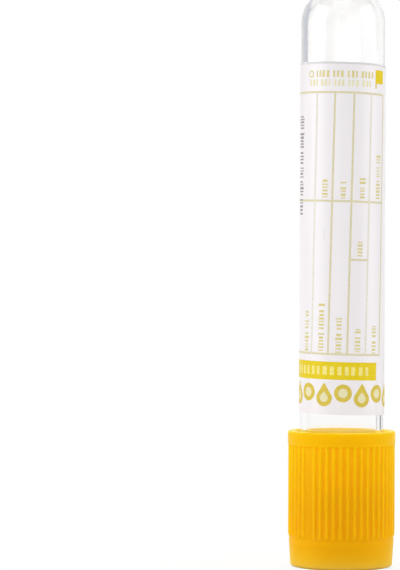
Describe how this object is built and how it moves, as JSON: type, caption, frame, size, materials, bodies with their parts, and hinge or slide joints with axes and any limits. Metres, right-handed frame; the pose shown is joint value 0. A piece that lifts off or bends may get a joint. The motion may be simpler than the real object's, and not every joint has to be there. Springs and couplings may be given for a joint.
{
  "type": "blood collection tube",
  "caption": "Clear round-ended blood collection tube with a wrapped label, separator gel, a pierceable rubber stopper and a ribbed yellow cap, standing on its cap.",
  "frame": {"origin": "centre of the cap's flat face, which the tube stands on", "axes": "+Z along the tube's axis, from the cap's face towards the round closed end; the bare strip beside the label faces about +Y"},
  "size_m": [0.02, 0.02, 0.1083],
  "materials": {
    "tube": "clear polished plastic",
    "gel": "translucent soft gel",
    "label": "printed film, slight gloss",
    "stopper": "smooth matt rubber",
    "cap": "moulded plastic, soft gloss"
  },
  "bodies": {
    "cap": {"cap": "cap"},
    "stopper": {"stopper": "stopper"},
    "tube": {"tube": "tube", "gel": "gel", "label": "label"}
  },
  "joints": [
    {"name": "twist", "type": "hinge", "parent": "cap", "child": "stopper", "pos_m": [0, 0, 0.005], "axis": [0, 0, 1], "continuous": true},
    {"name": "pull_off", "type": "slide", "parent": "stopper", "child": "tube", "axis": [0, 0, 1], "range_m": [0, 0.025]}
  ]
}
